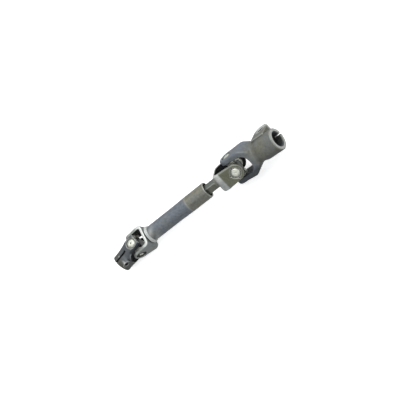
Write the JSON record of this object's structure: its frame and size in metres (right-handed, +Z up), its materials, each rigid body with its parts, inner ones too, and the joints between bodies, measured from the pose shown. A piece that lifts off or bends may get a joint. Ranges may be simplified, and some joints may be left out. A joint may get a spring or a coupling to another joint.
{
  "type": "universal joint shaft",
  "caption": "Telescopic intermediate shaft with a needle-bearing universal joint and a slit clamp yoke at each end, for turning a driven shaft at an angle.",
  "frame": {"origin": "under the middle of the object, on the surface that it lies on", "axes": "+X along the shaft towards the upper, longer clamp yoke, +Z up from the surface"},
  "size_m": [0.292, 0.0536, 0.0545],
  "materials": {
    "forged_steel": "dull grey phosphated forging",
    "stamped_steel": "olive grey phosphated plate with bright bends",
    "tube_steel": "drawn tube, blue grey, dull",
    "drawn_steel": "drawn bar, lightly oiled",
    "weld_steel": "rippled weld bead",
    "bearing_steel": "ground bearing steel, satin",
    "seal_rubber": "black nitrile rubber",
    "slide_nylon": "dark nylon"
  },
  "bodies": {
    "tube": {"outer_tube": "tube_steel", "tube_yoke": "stamped_steel", "weld_bead": "weld_steel", "slide_bush": "slide_nylon", "tube_yoke_cup_near": "bearing_steel", "tube_yoke_cup_far": "bearing_steel", "tube_yoke_needles_near": "bearing_steel", "tube_yoke_needles_far": "bearing_steel"},
    "inner_shaft": {"inner_shaft": "drawn_steel", "shaft_yoke": "stamped_steel", "shaft_yoke_cup_near": "bearing_steel", "shaft_yoke_cup_far": "bearing_steel", "shaft_yoke_needles_near": "bearing_steel", "shaft_yoke_needles_far": "bearing_steel"},
    "upper_spider": {"upper_spider": "bearing_steel", "shaft_yoke_seal_near": "seal_rubber", "shaft_yoke_seal_far": "seal_rubber", "upper_clamp_seal_near": "seal_rubber", "upper_clamp_seal_far": "seal_rubber"},
    "upper_clamp": {"upper_clamp_yoke": "forged_steel", "upper_clamp_cup_near": "bearing_steel", "upper_clamp_cup_far": "bearing_steel", "upper_clamp_needles_near": "bearing_steel", "upper_clamp_needles_far": "bearing_steel"},
    "lower_spider": {"lower_spider": "bearing_steel", "tube_yoke_seal_near": "seal_rubber", "tube_yoke_seal_far": "seal_rubber", "lower_clamp_seal_near": "seal_rubber", "lower_clamp_seal_far": "seal_rubber"},
    "lower_clamp": {"lower_clamp_yoke": "forged_steel", "lower_clamp_cup_near": "bearing_steel", "lower_clamp_cup_far": "bearing_steel", "lower_clamp_needles_near": "bearing_steel", "lower_clamp_needles_far": "bearing_steel"}
  },
  "joints": [
    {"name": "telescope_slide", "type": "slide", "parent": "tube", "child": "inner_shaft", "axis": [0.9994, 0, 0.0337], "range_m": [-0.017, 0.03]},
    {"name": "upper_inner_pin", "type": "hinge", "parent": "inner_shaft", "child": "upper_spider", "pos_m": [0.0709, 0.00198, 0.02295], "axis": [-0.0236, -0.7144, 0.6994], "range_deg": [-29, 27]},
    {"name": "upper_clamp_pin", "type": "hinge", "parent": "upper_spider", "child": "upper_clamp", "pos_m": [0.0709, 0.00198, 0.02295], "axis": [-0.0415, 0.6997, 0.7132], "range_deg": [-13, 43]},
    {"name": "lower_inner_pin", "type": "hinge", "parent": "tube", "child": "lower_spider", "pos_m": [-0.109, 0.00198, 0.01689], "axis": [0.0021, -0.998, -0.0626], "range_deg": [-23, 29]},
    {"name": "lower_clamp_pin", "type": "hinge", "parent": "lower_spider", "child": "lower_clamp", "pos_m": [-0.109, 0.00198, 0.01689], "axis": [0.0187, -0.0625, 0.9979], "range_deg": [-41, 11]}
  ]
}
